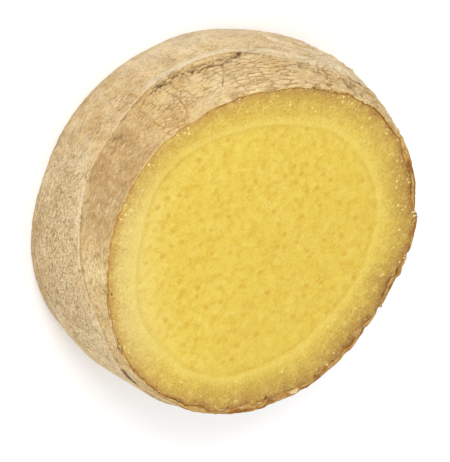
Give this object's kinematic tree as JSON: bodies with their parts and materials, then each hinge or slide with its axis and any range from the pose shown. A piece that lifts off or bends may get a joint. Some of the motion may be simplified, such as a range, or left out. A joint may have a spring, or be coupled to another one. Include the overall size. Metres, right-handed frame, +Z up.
{
  "type": "ginger root slice",
  "caption": "Thick round slice of fresh ginger root, flat yellow cut faces and a tan papery skin with a raised leaf scar round its side.",
  "frame": {"origin": "centre of the slice's box, on the flat cut face that it rests on", "axes": "+Z up, square to the two cut faces, towards the upper one; +X along the slice's widest way; -Y is the side where the leaf scar peaks and the skin is cracked"},
  "size_m": [0.0388, 0.0378, 0.0135],
  "materials": {
    "ginger_flesh": "satin",
    "ginger_skin": "matte"
  },
  "bodies": {
    "root": {"ginger_slice": "ginger_flesh"}
  },
  "joints": []
}
